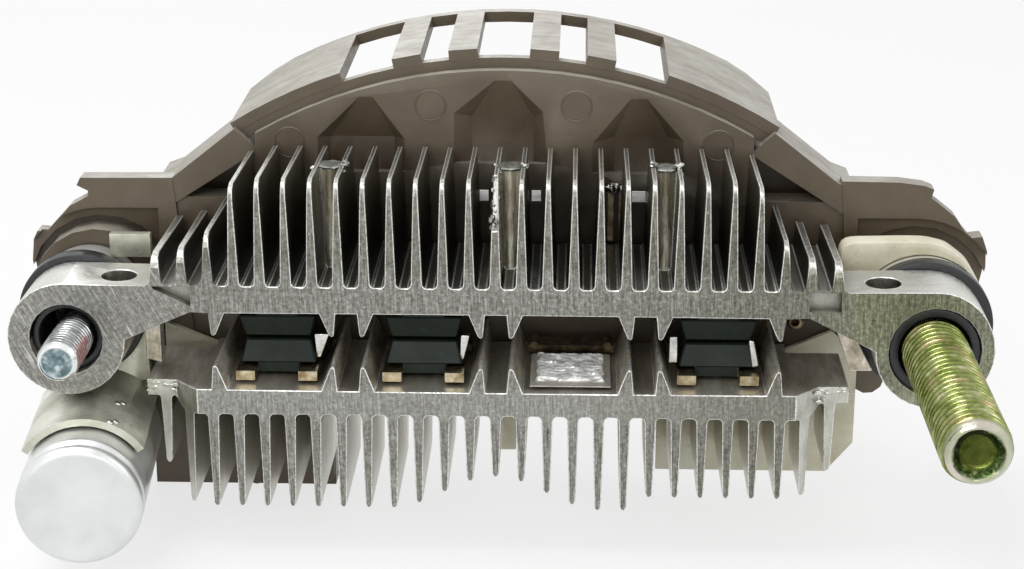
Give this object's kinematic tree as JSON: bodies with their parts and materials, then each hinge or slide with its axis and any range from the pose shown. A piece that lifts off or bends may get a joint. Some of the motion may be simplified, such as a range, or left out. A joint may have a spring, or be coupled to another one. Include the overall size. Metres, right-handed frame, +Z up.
{
  "type": "alternator rectifier",
  "caption": "Alternator rectifier: finned aluminium heat sinks with moulded diodes between them, two ears on studs, an arched plastic housing behind and a round suppressor capacitor.",
  "frame": {"origin": "midway between the two ears' bores, in the sanded front plane of the heat sinks", "axes": "+X to the right seen from the front, from the fixing stud to the output stud; +Y from the front face back into the housing, so the output stud points along -Y; +Z up along the upper fins"},
  "size_m": [0.1217, 0.0745, 0.0587],
  "materials": {
    "cast_aluminium": "cast, front face sanded",
    "yellow_zinc": "yellow-green chromated zinc",
    "bright_zinc": "bright zinc",
    "black_moulding": "black epoxy moulding",
    "black_insulator": "black, slightly shiny",
    "bright_metal": "bright zinc, slightly dull",
    "plated_steel": "tinned steel",
    "tinned_brass": "tinned brass",
    "stained_brass": "flux-stained brass",
    "solder": "bright solder",
    "cream_moulding": "cream glass-filled plastic",
    "brown_moulding": "brown phenolic moulding",
    "seal": "black potting"
  },
  "bodies": {
    "root": {"upper_heat_sink": "cast_aluminium", "lower_heat_sink": "cast_aluminium", "output_stud": "yellow_zinc", "fixing_stud": "bright_zinc", "right_bush": "black_insulator", "left_bush": "black_insulator", "left_washer": "black_insulator", "right_washer": "black_insulator", "left_spacer": "bright_metal", "right_spacer": "bright_metal", "right_collar": "cream_moulding", "phase_conductor_1": "stained_brass", "phase_conductor_2": "stained_brass", "phase_conductor_3": "stained_brass", "phase_conductor_4": "stained_brass", "solder_pad": "solder", "capacitor_can": "bright_metal", "capacitor_seal": "seal", "capacitor_bracket": "plated_steel", "housing": "brown_moulding", "rear_insulator": "cream_moulding", "left_insulator": "cream_moulding", "left_terminal": "plated_steel", "hook_terminal": "tinned_brass", "rivet": "plated_steel", "lower_diode_1_base": "tinned_brass", "lower_diode_1_body": "black_moulding", "lower_diode_2_base": "tinned_brass", "lower_diode_2_body": "black_moulding", "lower_diode_4_base": "tinned_brass", "lower_diode_4_body": "black_moulding", "upper_diode_1_base": "tinned_brass", "upper_diode_1_body": "black_moulding", "upper_diode_2_base": "tinned_brass", "upper_diode_2_body": "black_moulding", "upper_diode_4_base": "tinned_brass", "upper_diode_4_body": "black_moulding"}
  },
  "joints": []
}
